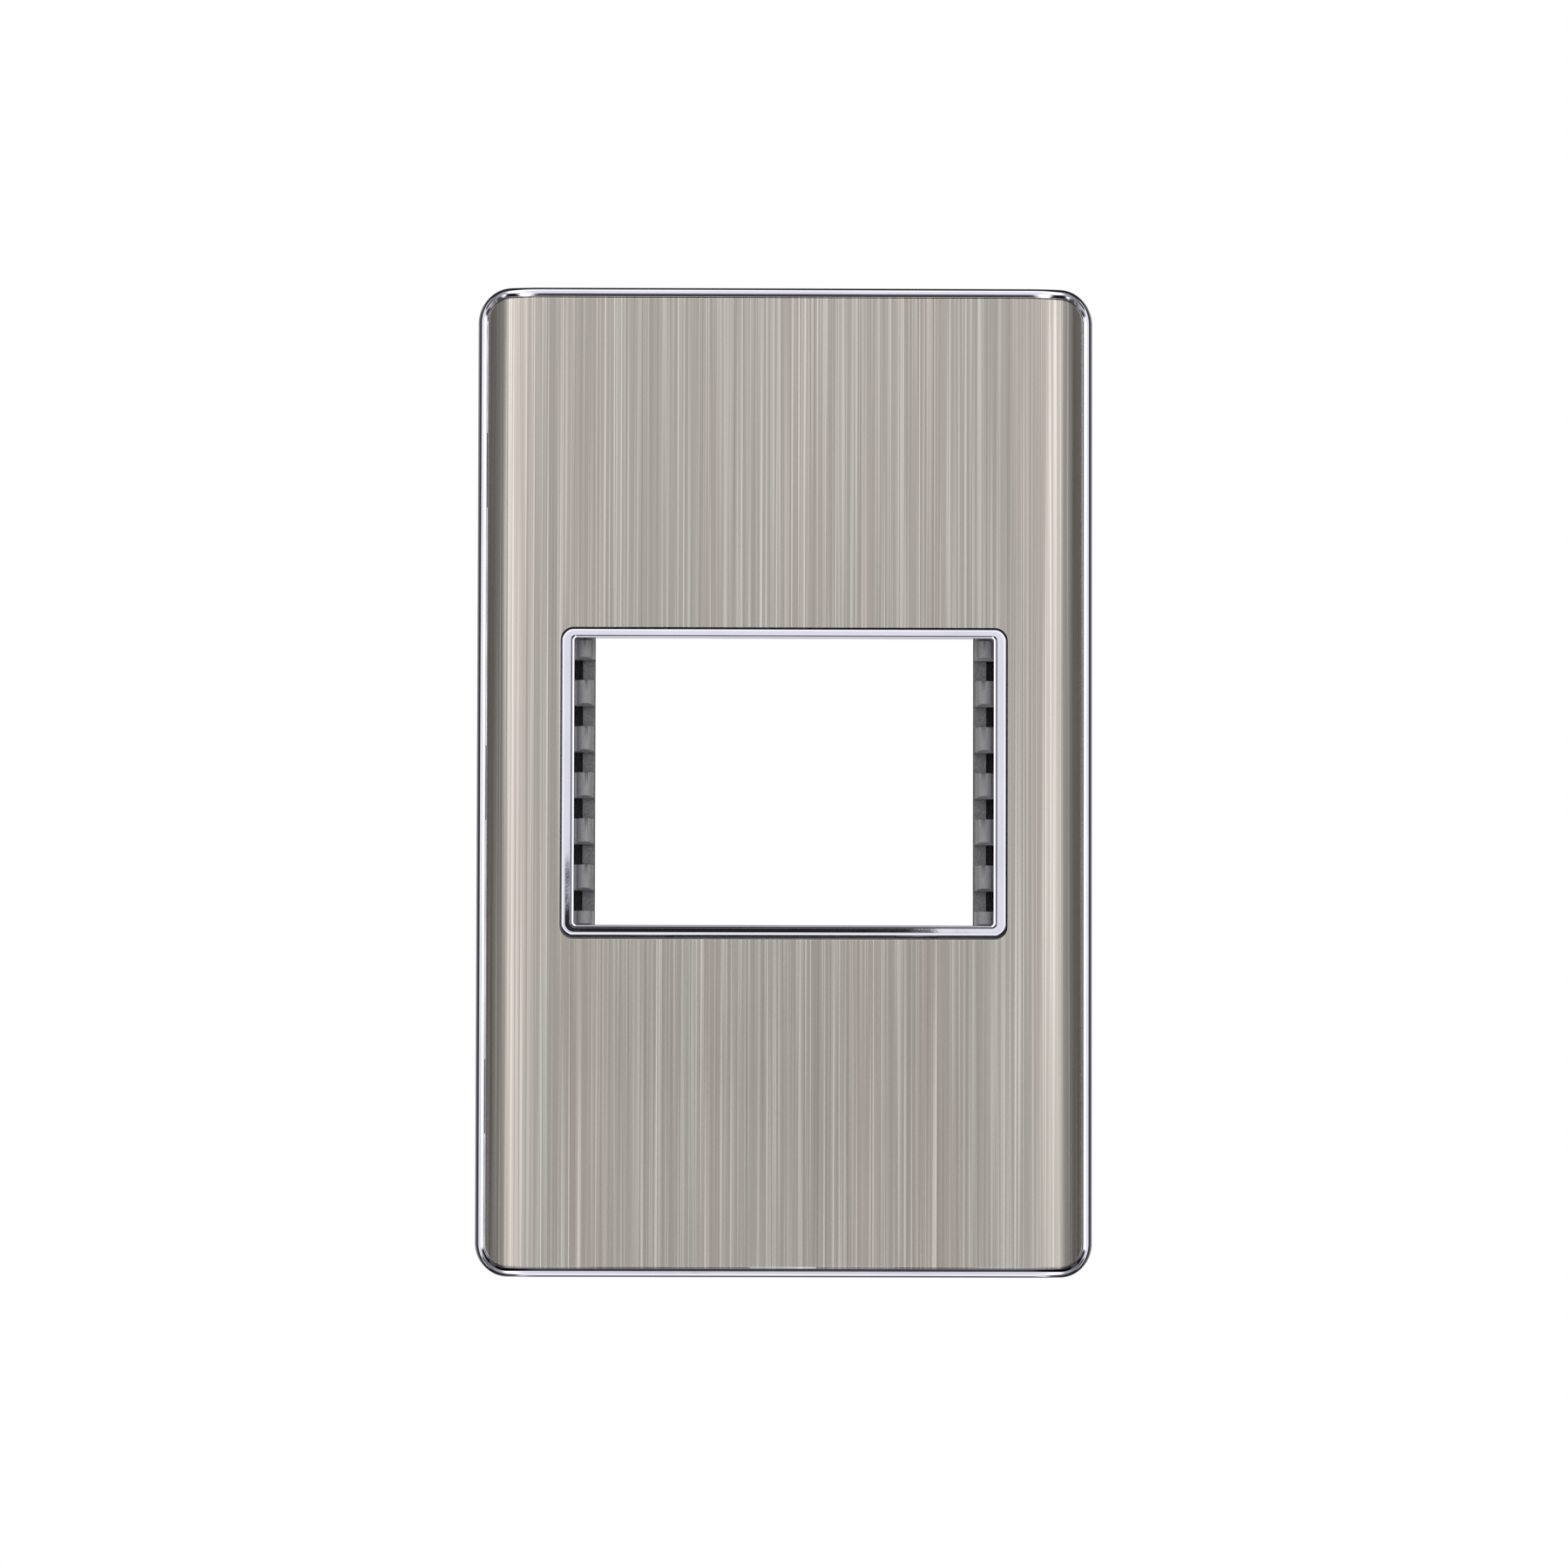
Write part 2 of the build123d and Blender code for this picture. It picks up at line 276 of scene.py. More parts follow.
def makeSteel():
    material, tree, shader = newMaterial("brushedSteel")
    layers = {}
    for name in ("hair", "line", "band", "drift"):
        width, length, seed = steelFinish[name]
        layers[name] = place(tree, grainLines, {"Line Width": width, "Line Length": length, "Seed": seed})
    hairs = layers["hair"]["Hairs"]
    lines = layers["line"]["Lines"]
    bright = calc(tree, "MULTIPLY_ADD", lines, steelFinish["lineShare"], hairs)
    bright = calc(tree, "MULTIPLY_ADD", layers["band"]["Lines"], steelFinish["bandShare"], bright)
    added = (steelFinish["lineShare"] + steelFinish["bandShare"]) / 2      # on average
    colour = ramp(tree, calc(tree, "SUBTRACT", bright, added), (
        (steelFinish["shadeAt"], steelFinish["shade"]),
        (steelFinish["toneAt"], steelFinish["tone"]),
        (steelFinish["glintAt"], steelFinish["glint"]),
    ))
    tint = ramp(tree, layers["drift"]["Lines"], (
        (steelFinish["pinkAt"], steelFinish["pinkDrift"]),
        (steelFinish["greenAt"], steelFinish["greenDrift"]),
    ))
    tinted = add(tree, "ShaderNodeVectorMath", {0: colour, 1: tint}, operation="MULTIPLY").outputs[0]
    plug(tree, shader.inputs["Base Color"], tinted)
    marks = addMarks(tree, steelFinish)
    smoothest = steelFinish["roughness"] - steelFinish["roughnessSpread"] / 2
    rough = calc(tree, "MULTIPLY_ADD", lines, steelFinish["roughnessSpread"], smoothest)
    addRoughness(tree, shader, rough, marks["Wipes"], steelFinish)
    height = calc(tree, "MULTIPLY_ADD", hairs, steelFinish["hairBump"], lines)
    addBump(tree, shader, height, steelFinish["bumpStrength"])
    shader.inputs["Metallic"].default_value = 1.0
    return material


chromeFinish = {
    "bright": (0.83, 0.825, 0.93, 1.0),
    "dulled": (0.78, 0.775, 0.88, 1.0),
    "roughness": 0.012,
    "wipeRoughness": 0.02,
    "speckBump": 0.01,
    "bumpStrength": 0.3,
    "wipeSize": 0.012,
    "speckSize": 0.3 * mm,
    "waveSize": 3.5 * mm,
}


def makeChrome():
    material, tree, shader = newMaterial("brightChrome")
    marks = addMarks(tree, chromeFinish)
    colour = ramp(tree, marks["Wipes"], ((0.0, chromeFinish["bright"]), (1.0, chromeFinish["dulled"])))
    plug(tree, shader.inputs["Base Color"], colour)
    addRoughness(tree, shader, chromeFinish["roughness"], marks["Wipes"], chromeFinish)
    height = calc(tree, "MULTIPLY_ADD", marks["Specks"], chromeFinish["speckBump"], marks["Waves"])
    addBump(tree, shader, height, chromeFinish["bumpStrength"])
    shader.inputs["Metallic"].default_value = 1.0
    return material


mouldingFinish = {
    "pale": (0.38, 0.38, 0.385, 1.0),
    "dark": (0.315, 0.315, 0.32, 1.0),
    # painted shade: the window floors' two colours are darker than the rest, for the shade in their recesses
    "shadedPocketPale": (0.22, 0.22, 0.225, 1.0),
    "shadedPocketDark": (0.135, 0.135, 0.14, 1.0),
    "pocketFrom": -5.45 * mm,      # the rails' window floors have a real erosion texture, and are painted darker as painted shade in these recesses
    "pocketTo": -5.25 * mm,
    "pocketDarkAt": 0.2,           # where the specks reach these two
    "pocketPaleAt": 0.8,
    "roughness": 0.48,
    "wipeRoughness": 0.12,
    "smoothBump": 0.5,             # the texture's height outside the windows, and what they add to it
    "pocketBump": 1.5,
    "bumpStrength": 0.4,
    "wipeSize": 0.008,
    "speckSize": 0.16 * mm,
    "waveSize": 0.004,
}


def makeMoulding():
    material, tree, shader = newMaterial("greyMoulding")
    marks = addMarks(tree, mouldingFinish)
    smooth = ramp(tree, marks["Specks"], ((0.0, mouldingFinish["dark"]), (1.0, mouldingFinish["pale"])))
    # painted shade: deep in the rails' windows the colour turns darker, for their shade; the specks and the
    # bump there are a real erosion texture
    erodedAndShaded = ramp(tree, marks["Specks"], (
        (mouldingFinish["pocketDarkAt"], mouldingFinish["shadedPocketDark"]),
        (mouldingFinish["pocketPaleAt"], mouldingFinish["shadedPocketPale"]),
    ))
    where = add(tree, "ShaderNodeTexCoord").outputs["Object"]
    depth = add(tree, "ShaderNodeSeparateXYZ", {"Vector": where}).outputs["Y"]
    pocket = ease(tree, depth, mouldingFinish["pocketFrom"], mouldingFinish["pocketTo"])
    colour = add(tree, "ShaderNodeMix", {"Factor": pocket}, data_type="RGBA")
    plug(tree, colour.inputs["A"], smooth)
    plug(tree, colour.inputs["B"], erodedAndShaded)
    plug(tree, shader.inputs["Base Color"], colour.outputs["Result"])
    addRoughness(tree, shader, mouldingFinish["roughness"], marks["Wipes"], mouldingFinish)
    coarse = calc(tree, "MULTIPLY_ADD", pocket, mouldingFinish["pocketBump"], mouldingFinish["smoothBump"])
    height = calc(tree, "MULTIPLY", marks["Specks"], coarse)
    addBump(tree, shader, height, mouldingFinish["bumpStrength"])
    return material


steel = makeSteel()
chrome = makeChrome()
moulding = makeMoulding()
print("finishes ready")


# sections, as lists of (inset from the outer face, depth), from the outer face round to the inner

hold = 0.02 * mm      # a point this close to a rounded stretch keeps the flat beside it evenly lit
weld = 0.001 * mm     # points of a mesh that are closer than this are one


def easedEdge(run, drop, front, steps):
    # a quarter of an ellipse from the outer face up to the front
    points = []
    for i in range(steps + 1):
        angle = math.radians(90) * i / steps
        points.append((run * (1 - math.cos(angle)), front - drop * (1 - math.sin(angle))))
    return points


def roundedPoint(before, corner, after, radius, steps):
    # a corner of a section, rounded by an arc between its two sides
    corner = Vector(corner)
    toBefore = (Vector(before) - corner).normalized()
    toAfter = (Vector(after) - corner).normalized()
    half = toBefore.angle(toAfter) / 2
    centre = corner + (toBefore + toAfter).normalized() * (radius / math.sin(half))
    start = (corner + toBefore * (radius / math.tan(half)) - centre).normalized()
    end = (corner + toAfter * (radius / math.tan(half)) - centre).normalized()
    points = []
    for i in range(steps + 1):
        spoke = start.slerp(end, i / steps)
        points.append(tuple(centre + spoke * radius))
    return points


# bright rim: one section swept round the plate's outline, sunk where the sides roll down

rim = {
    "width": 1.1 * mm,
    "cornerRadius": 4.0 * mm,
    "outerRound": 0.45 * mm,
    "innerBevel": 0.4 * mm,
    "bevelBlend": 0.1 * mm,
    "landSteps": 4,            # the narrow front is cut up so that it rolls down truly at the sides
    "roundSteps": 10,
    "cornerSteps": 40,
    "blendSteps": 8,
    "frontDepth": 1.0 * mm,    # what lies this near the front goes down with the roll
    "step": 0.25 * mm,
    "notchWidth": 8.0 * mm,
    "notchDepth": 1.4 * mm,
    "notchHeight": 3.0 * mm,
    "sharpAngle": 40,          # an edge that turns more than this, in degrees, stays sharp
}


def buildSweptFrame():
    tree, given, result = newGroup(
        "sweptFrame",
        "GeometryNodeTree",
        [
            ("Section", "NodeSocketGeometry", None),
            ("Width", "NodeSocketFloat", 0.074),
            ("Height", "NodeSocketFloat", 0.119),
            ("Corner Radius", "NodeSocketFloat", 0.004),
            ("Step", "NodeSocketFloat", 0.0003),
            ("Flat Half", "NodeSocketFloat", 0.03),
            ("Roll Radius", "NodeSocketFloat", 0.011),
            ("Front", "NodeSocketFloat", 0.009),
            ("Front Depth", "NodeSocketFloat", 0.001),
            ("Finish", "NodeSocketMaterial", None),
        ],
        [("Frame", "NodeSocketGeometry")],
    )
    size = {"Width": given["Width"], "Height": given["Height"]}
    sharp = add(tree, "GeometryNodeCurvePrimitiveQuadrilateral", size)
    rounded = add(tree, "GeometryNodeFilletCurve", {"Curve": sharp.outputs[0]}, mode="POLY")
    plug(tree, rounded.inputs["Radius"], given["Corner Radius"])
    rounded.inputs["Count"].default_value = rim["cornerSteps"]
    path = add(tree, "GeometryNodeResampleCurve", {"Curve": rounded.outputs[0]}, mode="LENGTH")
    plug(tree, path.inputs["Length"], given["Step"])
    section = add(tree, "GeometryNodeMeshToCurve", {"Mesh": given["Section"]})
    swept = add(tree, "GeometryNodeCurveToMesh", {"Curve": path.outputs[0]})
    plug(tree, swept.inputs["Profile Curve"], section.outputs[0])
    position = add(tree, "GeometryNodeInputPosition").outputs[0]
    spot = add(tree, "ShaderNodeSeparateXYZ", {"Vector": position}).outputs
    past = calc(tree, "SUBTRACT", calc(tree, "ABSOLUTE", spot["X"]), given["Flat Half"])
    reach = calc(tree, "MAXIMUM", past, 0.0)
    radius = calc(tree, "ADD", given["Roll Radius"], calc(tree, "SUBTRACT", spot["Z"], given["Front"]))
    left = calc(tree, "SUBTRACT", calc(tree, "POWER", radius, 2.0), calc(tree, "POWER", reach, 2.0))
    drop = calc(tree, "SUBTRACT", radius, calc(tree, "SQRT", left))
    lowest = calc(tree, "SUBTRACT", given["Front"], given["Front Depth"])
    nearFront = calc(tree, "GREATER_THAN", spot["Z"], lowest)
    sink = calc(tree, "MULTIPLY", calc(tree, "MULTIPLY", drop, nearFront), -1.0)
    offset = add(tree, "ShaderNodeCombineXYZ", {"Z": sink}).outputs[0]
    sunk = add(tree, "GeometryNodeSetPosition", {"Geometry": swept.outputs[0], "Offset": offset})
    stood = add(tree, "GeometryNodeTransform", {"Geometry": sunk.outputs[0]})
    stood.inputs["Rotation"].default_value = (math.radians(90), 0.0, 0.0)
    real = add(tree, "GeometryNodeRealizeInstances", {"Geometry": stood.outputs[0]})
    dressed = add(tree, "GeometryNodeSetMaterial", {"Geometry": real.outputs[0], "Material": given["Finish"]})
    tree.links.new(dressed.outputs[0], result["Frame"])
    return tree


def rimSection():
    bevelTop = (rim["width"] - rim["innerBevel"], rimFront)
    bevelFoot = (rim["width"], rimFront - rim["innerBevel"])
    points = [(0.0, rimBack)]
    points += easedEdge(rim["outerRound"], rim["outerRound"], rimFront, rim["roundSteps"])
    blend = roundedPoint(points[-1], bevelTop, bevelFoot, rim["bevelBlend"], rim["blendSteps"])
    landFrom = rim["outerRound"] + hold
    landTo = blend[0][0] - hold
    for i in range(rim["landSteps"] + 1):
        points.append((landFrom + (landTo - landFrom) * i / rim["landSteps"], rimFront))
    points += blend
    points += [bevelFoot, (rim["width"], rimBack)]
    return points


def makeRim():
    section = [(-inset, -depth, 0.0) for inset, depth in rimSection()]
    edges = [(i, (i + 1) % len(section)) for i in range(len(section))]
    mesh = bpy.data.meshes.new("brightRim")
    mesh.from_pydata(section, edges, [])
    piece = newPiece("brightRim", mesh)
    modifier = piece.modifiers.new("sweep", "NODES")
    tree = buildSweptFrame()
    modifier.node_group = tree
    values = {
        "Width": plateWidth,
        "Height": plateHeight,
        "Corner Radius": rim["cornerRadius"],
        "Step": rim["step"],
        "Flat Half": flatHalf,
        "Roll Radius": rollRadius,
        "Front": steelFront,
        "Front Depth": rim["frontDepth"],
        "Finish": chrome,
    }
    for item in tree.interface.items_tree:
        if item.in_out == "INPUT" and item.name in values:
            modifier[item.identifier] = values[item.name]
    flattenModifiers(piece)
    merged = bmesh.new()
    merged.from_mesh(piece.data)
    bmesh.ops.remove_doubles(merged, verts=merged.verts, dist=weld)
    if merged.calc_volume(signed=True) < 0:
        bmesh.ops.reverse_faces(merged, faces=merged.faces)
    merged.to_mesh(piece.data)
    merged.free()
    cutNotch(piece)
    return piece


def cutNotch(piece):
    # the notch in the lower edge, for the screwdriver that lifts the plate off
    block = bmesh.new()
    bmesh.ops.create_cube(block, size=1.0)
    size = Vector((rim["notchWidth"], 2 * rim["notchDepth"], 2 * rim["notchHeight"]))
    bmesh.ops.scale(block, vec=size, verts=block.verts)
    bmesh.ops.translate(block, vec=(0.0, 0.0, rimLow.z), verts=block.verts)
    mesh = bpy.data.meshes.new("notchBlock")
    block.to_mesh(mesh)
    block.free()
    cutter = newPiece("notchBlock", mesh)
    cut = piece.modifiers.new("notch", "BOOLEAN")
    cut.operation = "DIFFERENCE"
    cut.solver = "EXACT"
    cut.object = cutter
    flattenModifiers(piece)
    bpy.data.objects.remove(cutter)


# bezel: loops of one section, whose corners go from round outside to nearly sharp inside

bezel = {
    "band": 1.56 * mm,
    "aside": -0.1 * mm,        # it sits this much left of the middle
    "halfHeight": 18.45 * mm,
    "low": 0.09 * mm,          # and its outline sits this much low round the opening
    "openingHalfHeight": 17.25 * mm,
    "cornerOutside": 1.4 * mm,
    "cornerInside": 0.3 * mm,
    "edgeRun": 0.42 * mm,
    "edgeDrop": 0.15 * mm,
    "landWidth": 0.62 * mm,
    "stepRun": 0.2 * mm,       # inside the land: a fine steep step, a sloped lip, then the wall
    "stepDrop": 0.34 * mm,
    "lipWidth": 0.24 * mm,
    "lipSlope": math.radians(20),
    "lipRound": 0.05 * mm,
    "lipSteps": 6,
    "seatDepth": 6.0 * mm,
    "legOverlap": 0.01 * mm,   # how far the snap legs reach up into the seat
    "cornerSteps": 24,
    "edgeSteps": 12,
    "sharpAngle": 40,
}


def roundedLoop(halfX, halfZ, radius, steps):
    # points round a rounded rectangle, counter-clockwise seen from the front
    points = []
    for quarter, (sideX, sideZ) in enumerate(((1, 1), (-1, 1), (-1, -1), (1, -1))):
        for i in range(steps + 1):
            angle = math.radians(90) * (quarter + i / steps)
            x = sideX * (halfX - radius) + radius * math.cos(angle)
            z = sideZ * (halfZ - radius) + radius * math.sin(angle)
            points.append((x, z))
    return points


def bezelSection():
    landEnd = bezel["edgeRun"] + bezel["landWidth"]
    lipTop = (landEnd + bezel["stepRun"], bezelFront - bezel["stepDrop"])
    lipDrop = bezel["lipWidth"] * math.tan(bezel["lipSlope"])
    lipFoot = (lipTop[0] + bezel["lipWidth"], lipTop[1] - lipDrop)
    wallFoot = (bezel["band"], bezel["seatDepth"])
    points = [(0.0, bezel["seatDepth"])]
    points += easedEdge(bezel["edgeRun"], bezel["edgeDrop"], bezelFront, bezel["edgeSteps"])
    points.append((bezel["edgeRun"] + hold, bezelFront))
    points.append((landEnd - hold, bezelFront))
    points += [(landEnd, bezelFront), lipTop]
    points.append((lipTop[0] + hold, lipTop[1] - hold * math.tan(bezel["lipSlope"])))
    points += roundedPoint(points[-1], lipFoot, wallFoot, bezel["lipRound"], bezel["lipSteps"])
    points.append(wallFoot)
    return points


def makeBezel():
    shell = bmesh.new()
    loops = []
    highBand = bezel["halfHeight"] - bezel["openingHalfHeight"]
    for inset, depth in bezelSection():
        share = inset / bezel["band"]
        radius = bezel["cornerOutside"] + (bezel["cornerInside"] - bezel["cornerOutside"]) * share
        halfZ = bezel["halfHeight"] - highBand * share
        loop = roundedLoop(bezelHigh.x - inset, halfZ, radius, bezel["cornerSteps"])
        low = bezel["low"] * (1 - share)
        loops.append([shell.verts.new((x + bezel["aside"], -depth, z - low)) for x, z in loop])
    for a, b in zip(loops, loops[1:] + loops[:1]):
        for i in range(len(a)):
            j = (i + 1) % len(a)
            shell.faces.new((a[i], a[j], b[j], b[i]))
    bmesh.ops.recalc_face_normals(shell, faces=shell.faces)
    addLegs(shell)
    mesh = bpy.data.meshes.new("openingBezel")
    shell.to_mesh(mesh)
    shell.free()
    mesh.materials.append(chrome)
    return newPiece("openingBezel", mesh)


def addLegs(shell):
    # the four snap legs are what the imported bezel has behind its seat
    legs = bmesh.new()
    legs.from_mesh(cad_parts["bezel"].data)
    bmesh.ops.remove_doubles(legs, verts=legs.verts, dist=weld)
    everything = legs.verts[:] + legs.edges[:] + legs.faces[:]
    seat = Vector((0.0, -bezel["seatDepth"] + bezel["legOverlap"], 0.0))
    towardsFront = (0, -1, 0)
    bmesh.ops.bisect_plane(legs, geom=everything, plane_co=seat, plane_no=towardsFront, clear_outer=True)
    bmesh.ops.holes_fill(legs, edges=[edge for edge in legs.edges if edge.is_boundary])
    mesh = bpy.data.meshes.new("snapLegs")
    legs.to_mesh(mesh)
    legs.free()
    shell.from_mesh(mesh)
    bpy.data.meshes.remove(mesh)


rimPiece = makeRim()
bezelPiece = makeBezel()
print("rim and bezel made:", len(rimPiece.data.polygons), len(bezelPiece.data.polygons))


# steel face: an outline with a cut-out, sliced finely where it rolls, then lowered by rule

face = {
    "thickness": 0.6 * mm,
    "rimGap": 0.09 * mm,
    "gapBeside": 0.18 * mm,    # dark gap round the bezel: beside it, above it and below it
    "gapAbove": 0.19 * mm,
    "gapBelow": 0.48 * mm,
    "slices": 48,
    "edgeRun": 0.1 * mm,       # the cut edges are rolled over a little, as a press leaves them
    "edgeDrop": 0.06 * mm,
    "edgeSteps": 5,
    "cornerSteps": 16,
    "sharpAngle": 40,
}


def steelDepth(x, setback):
    reach = max(abs(x) - flatHalf, 0.0)
    radius = rollRadius - setback
    return steelFront - rollRadius + math.sqrt(radius ** 2 - reach ** 2)


def edgeLoops(flat, halfX, halfZ, radius, inward, aside=0.0, low=0.0):
    # rows of faces along one cut edge; y holds how far each point lies below the front
    loops = []
    insets = []
    for i in range(face["edgeSteps"] + 1):
        angle = math.radians(90) * i / face["edgeSteps"]
        inset = inward * face["edgeRun"] * (1 - math.cos(angle))
        drop = face["edgeDrop"] * (1 - math.sin(angle))
        insets.append((inset, drop))
    insets.append((insets[-1][0] + inward * hold, 0.0))
    for inset, drop in insets:
        loop = roundedLoop(halfX - inset, halfZ - inset, radius - inset, face["cornerSteps"])
        loops.append([flat.verts.new((x + aside, drop, z - low)) for x, z in loop])
    for a, b in zip(loops, loops[1:]):
        for i in range(len(a)):
            j = (i + 1) % len(a)
            flat.faces.new((a[i], a[j], b[j], b[i]))
    last = loops[-1]
    return [flat.edges.get((last[i - 1], last[i])) for i in range(len(last))]


def makeFace():
    flat = bmesh.new()
    inset = rim["width"] + face["rimGap"]
    halfX = plateWidth / 2 - inset
    halfZ = plateHeight / 2 - inset
    edges = edgeLoops(flat, halfX, halfZ, rim["cornerRadius"] - inset, 1)
    cutX = bezelHigh.x + face["gapBeside"]
    cutZ = bezel["halfHeight"] + (face["gapAbove"] + face["gapBelow"]) / 2
    cutLow = bezel["low"] + (face["gapBelow"] - face["gapAbove"]) / 2
    cutRadius = bezel["cornerOutside"] + face["gapBeside"]
    edges += edgeLoops(flat, cutX, cutZ, cutRadius, -1, bezel["aside"], cutLow)
    bmesh.ops.triangle_fill(flat, edges=edges, use_beauty=False, use_dissolve=False)
    for side in (-1, 1):
        for i in range(face["slices"]):
            x = side * (flatHalf + (halfX - flatHalf) * i / face["slices"])
            everything = flat.verts[:] + flat.edges[:] + flat.faces[:]
            bmesh.ops.bisect_plane(flat, geom=everything, plane_co=(x, 0, 0), plane_no=(1, 0, 0))
    flat.verts.index_update()
    fronts = [(v.co.x, v.co.y - steelDepth(v.co.x, 0.0), v.co.z) for v in flat.verts]
    backs = [(v.co.x, -steelDepth(v.co.x, face["thickness"]), v.co.z) for v in flat.verts]
    faces = []
    sides = set()
    for polygon in flat.faces:
        loop = [v.index for v in polygon.verts]
        spots = [(v.co.x, v.co.z) for v in polygon.verts]
        area = sum(a[0] * b[1] - b[0] * a[1] for a, b in zip(spots, spots[1:] + spots[:1]))
        if area < 0:
            loop.reverse()
        faces.append(loop)
        faces.append([i + len(fronts) for i in reversed(loop)])
        sides.update(zip(loop, loop[1:] + loop[:1]))
    for a, b in sides:
        if (b, a) not in sides:
            faces.append([b, a, a + len(fronts), b + len(fronts)])
    flat.free()
    mesh = bpy.data.meshes.new("steelFace")
    mesh.from_pydata(fronts + backs, [], faces)
    mesh.materials.append(steel)
    return newPiece("steelFace", mesh)


facePiece = makeFace()
print("steel face made:", len(facePiece.data.polygons))


# grey carrier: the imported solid's own surface, merged and softly shaded

carrier = {
    "flatAngle": math.radians(0.5),    # faces that turn less than this are made one
    "rollFacing": 0.95,                # how truly a face must look out of the roll to be part of it
    "sharpAngle": 30,
}


def makeCarrier():
    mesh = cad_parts["carrier"].data.copy()
    piece = newPiece("mouldedCarrier", mesh)
    merged = bmesh.new()
    merged.from_mesh(mesh)
    bmesh.ops.remove_doubles(merged, verts=merged.verts, dist=weld)
    limit = carrier["flatAngle"]
    bmesh.ops.dissolve_limit(merged, angle_limit=limit, verts=merged.verts, edges=merged.edges)
    merged.to_mesh(mesh)
    merged.free()
    mesh.materials.clear()
    mesh.materials.append(moulding)
    return piece


def rollShade(piece):
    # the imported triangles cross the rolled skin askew, so its shading comes from the roll itself
    mesh = piece.data
    axisDepth = steelFront - rollRadius
    normals = [corner.vector.copy() for corner in mesh.corner_normals]
    for polygon in mesh.polygons:
        side = math.copysign(1.0, polygon.center.x)
        spokes = []
        for index in polygon.vertices:
            spot = mesh.vertices[index].co
            spokes.append(Vector((spot.x - side * flatHalf, spot.y + axisDepth, 0.0)))
        lengths = [spoke.length for spoke in spokes]
        beside = min(side * spoke.x for spoke in spokes) > -hold
        inRoll = beside and max(lengths) - min(lengths) < hold
        facing = polygon.normal.dot(sum(spokes, Vector()).normalized())
        if inRoll and abs(facing) > carrier["rollFacing"]:
            for corner, spoke in zip(polygon.loop_indices, spokes):
                normals[corner] = spoke.normalized() * math.copysign(1.0, facing)
    mesh.normals_split_custom_set(normals)


carrierPiece = makeCarrier()
print("carrier made:", len(carrierPiece.data.polygons))

for piece, settings in ((rimPiece, rim), (bezelPiece, bezel), (facePiece, face), (carrierPiece, carrier)):
    softShade(piece, settings["sharpAngle"])
weighShade(carrierPiece)
rollShade(carrierPiece)

for piece, node, slotName in (
    (rimPiece, "rim", "bright_chrome"),
    (bezelPiece, "bezel", "bright_chrome"),
    (facePiece, "face_sheet", "brushed_steel"),
    (carrierPiece, "carrier", "grey_moulding"),
):
    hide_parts(node)
    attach(piece, "root")


# the studio: pale floor far below, soft light in rings round the plate's axis, white backdrop

studio = {
    "floorDrop": 0.40,
    "floorSize": 4.0,
    "floorColour": (0.88, 0.88, 0.88, 1.0),
    "floorRoughness": 0.8,
    "floorGlow": 0.45,         # seen by the camera alone, for a pale floor that keeps its shadow
    # the light's level by angle off the plate's own axis, in degrees
    "ring": (
        (0, 0.84), (13, 0.84), (22, 0.92), (27, 1.0), (33, 1.3), (40, 1.4), (45, 1.38),
        (51, 0.45), (58, 0.36), (69, 0.16), (75, 0.07), (77.5, 0.07), (79.5, 0.92), (86, 0.92),
        (88, 0.05), (120, 0.05), (135, 0.25), (168, 0.25), (174, 1.0), (180, 1.0),
    ),
    # what it is multiplied by, by a direction's height, from straight down at -1 to straight up at 1
    "height": (
        (-1, 0.05), (-0.985, 0.05), (-0.96, 3.0), (-0.8, 1.8), (-0.6, 0.95), (-0.14, 0.95),
        (0.2, 1.12), (0.78, 1.12), (0.88, 0.08),
    ),
    "cornerFrom": 0.24,        # the room's four corners are dark, by a direction's X times its Z
    "cornerTo": 0.34,
    "cornerLevel": 0.08,
    "ringMost": 2.0,           # no level in either list may pass its own limit
    "heightMost": 4.0,
    "backdrop": 0.99,          # the metal shows the white backdrop where a direction's Y passes this
    # a dark patch straight in front, where a camera stands; its places are sines of angles
    "lensMiddle": (0.0, 0.001),
    "lensHalf": (0.0375, 0.030),
    "lensEdge": (0.93, 1.07),
    "lensLevel": 0.02,
    # soft fill: name, place, size and power
    "lamps": (
        ("fillAbove", (-0.5, -0.6, 0.9), 0.7, 3.0),
        ("fillRight", (0.8, -0.6, 0.5), 0.6, 1.5),
        ("backFill", (0.2, 0.9, 0.6), 0.6, 4.0),
    ),
}


def makeFloor():
    mesh = bpy.data.meshes.new("floor")
    half = studio["floorSize"] / 2
    level = -studio["floorDrop"]
    corners = [(-half, -half, level), (half, -half, level), (half, half, level), (-half, half, level)]
    mesh.from_pydata(corners, [], [(0, 1, 2, 3)])
    floor = newPiece("floor", mesh)
    material, tree, shader = newMaterial("paleFloor")
    shader.inputs["Base Color"].default_value = studio["floorColour"]
    shader.inputs["Roughness"].default_value = studio["floorRoughness"]
    ray = add(tree, "ShaderNodeLightPath").outputs
    glow = calc(tree, "MULTIPLY", ray["Is Camera Ray"], studio["floorGlow"])
    shader.inputs["Emission Color"].default_value = (1.0, 1.0, 1.0, 1.0)
    plug(tree, shader.inputs["Emission Strength"], glow)
    mesh.materials.append(material)
    floor.visible_glossy = False      # the bright metal shows the dark room, not the floor


def levelRamp(tree, value, stops, most):
    # a ramp holds 0 to 1, so the levels are divided on the way in and multiplied on the way out
    colours = []
    for position, level in stops:
        share = level / most
        colours.append((position, (share, share, share, 1.0)))
    return calc(tree, "MULTIPLY", ramp(tree, value, colours), most)


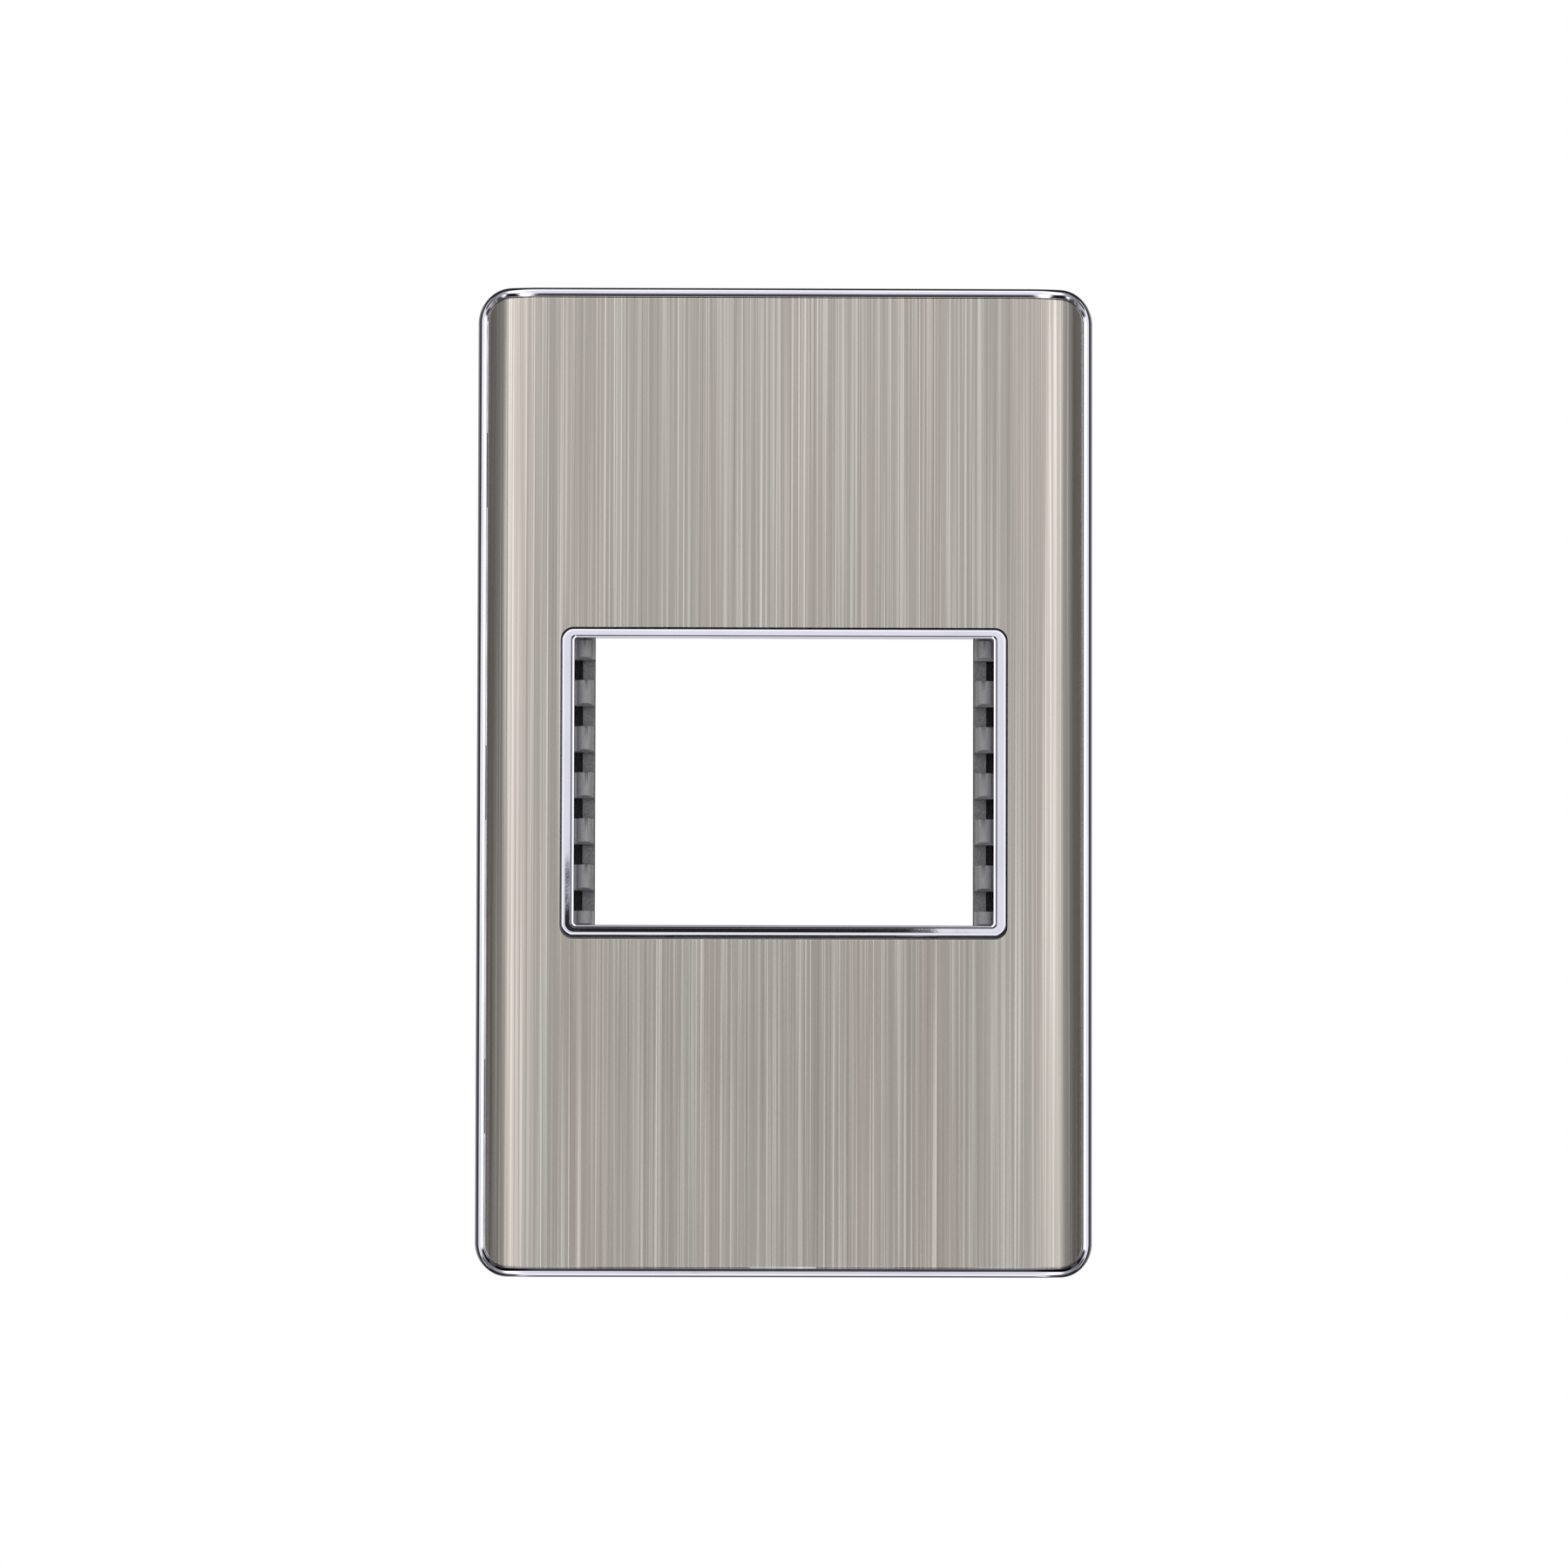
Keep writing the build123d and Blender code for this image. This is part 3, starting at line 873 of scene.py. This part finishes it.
def makeWorld():
    world = bpy.data.worlds.new("studio")
    scene.world = world
    world.use_nodes = True
    tree = world.node_tree
    background = tree.nodes["Background"]
    aim = add(tree, "ShaderNodeTexCoord").outputs["Generated"]
    part = add(tree, "ShaderNodeSeparateXYZ", {"Vector": aim}).outputs
    angle = calc(tree, "ARCCOSINE", calc(tree, "MULTIPLY", part["Y"], -1.0))
    stops = [(degrees / 180, level) for degrees, level in studio["ring"]]
    level = levelRamp(tree, calc(tree, "DIVIDE", angle, math.pi), stops, studio["ringMost"])
    away = []
    for axis, middle, half in zip("XZ", studio["lensMiddle"], studio["lensHalf"]):
        away.append(calc(tree, "DIVIDE", calc(tree, "SUBTRACT", part[axis], middle), half))
    squares = calc(tree, "MULTIPLY_ADD", away[0], away[0], calc(tree, "MULTIPLY", away[1], away[1]))
    behind = calc(tree, "GREATER_THAN", part["Y"], 0.0)
    lens = calc(tree, "MAXIMUM", ease(tree, calc(tree, "SQRT", squares), *studio["lensEdge"]), behind)
    level = calc(tree, "MULTIPLY", level, calc(tree, "MAXIMUM", lens, studio["lensLevel"]))
    stops = [((height + 1) / 2, share) for height, share in studio["height"]]
    share = levelRamp(tree, calc(tree, "MULTIPLY_ADD", part["Z"], 0.5, 0.5), stops, studio["heightMost"])
    level = calc(tree, "MULTIPLY", level, share)
    corner = calc(tree, "ABSOLUTE", calc(tree, "MULTIPLY", part["X"], part["Z"]))
    corner = ease(tree, corner, studio["cornerFrom"], studio["cornerTo"])
    level = calc(tree, "MULTIPLY", level, calc(tree, "MULTIPLY_ADD", corner, studio["cornerLevel"] - 1, 1.0))
    ray = add(tree, "ShaderNodeLightPath").outputs
    shown = calc(tree, "MAXIMUM", ray["Is Glossy Ray"], ray["Is Transmission Ray"])
    white = calc(tree, "GREATER_THAN", part["Y"], studio["backdrop"])
    shown = calc(tree, "MAXIMUM", ray["Is Camera Ray"], calc(tree, "MULTIPLY", shown, white))
    plug(tree, background.inputs["Strength"], calc(tree, "MAXIMUM", level, shown))
    background.inputs["Color"].default_value = (1.0, 1.0, 1.0, 1.0)


def addLamp(name, spot, size, power):
    # for the plastic and the floor; the metal shows the room instead
    lamp = bpy.data.lights.new(name, "AREA")
    lamp.shape = "SQUARE"
    lamp.size = size
    lamp.energy = power
    holder = bpy.data.objects.new(name, lamp)
    holder.location = spot
    holder.rotation_euler = (-Vector(spot)).to_track_quat("-Z", "Y").to_euler()
    holder.visible_glossy = False
    scene.collection.objects.link(holder)


makeFloor()
makeWorld()
for name, spot, size, power in studio["lamps"]:
    addLamp(name, spot, size, power)

# the camera stands square on, a touch low, as for the photo
view = {
    "distance": 0.80,
    "azimuth": -0.5,
    "elevation": -2.3,
    "roll": 0.13,
    "framePixels": 1800,
    "platePixels": 1136.5,
    "aimX": -0.09 * mm,
    "aimZ": -0.32 * mm,
    "sensor": 36.0,
    "nearest": 0.01,
    "farthest": 50.0,
}


def makeCamera():
    data = bpy.data.cameras.new("camera")
    camera = bpy.data.objects.new("camera", data)
    scene.collection.objects.link(camera)
    azimuth = math.radians(view["azimuth"])
    elevation = math.radians(view["elevation"])
    level = math.cos(elevation)
    back = Vector((math.sin(azimuth) * level, -math.cos(azimuth) * level, math.sin(elevation)))
    target = Vector((view["aimX"], -steelFront, view["aimZ"]))
    turn = (-back).to_track_quat("-Z", "Y").to_matrix().to_4x4()
    turn = turn @ Matrix.Rotation(math.radians(view["roll"]), 4, "Z")
    camera.matrix_world = Matrix.Translation(target + back * view["distance"]) @ turn
    frameWidth = plateHeight * view["framePixels"] / view["platePixels"]
    data.sensor_width = view["sensor"]
    data.lens = view["sensor"] * view["distance"] / frameWidth
    data.clip_start = view["nearest"]
    data.clip_end = view["farthest"]
    scene.camera = camera


makeCamera()
scene.view_settings.view_transform = "Standard"
print("studio and camera ready")
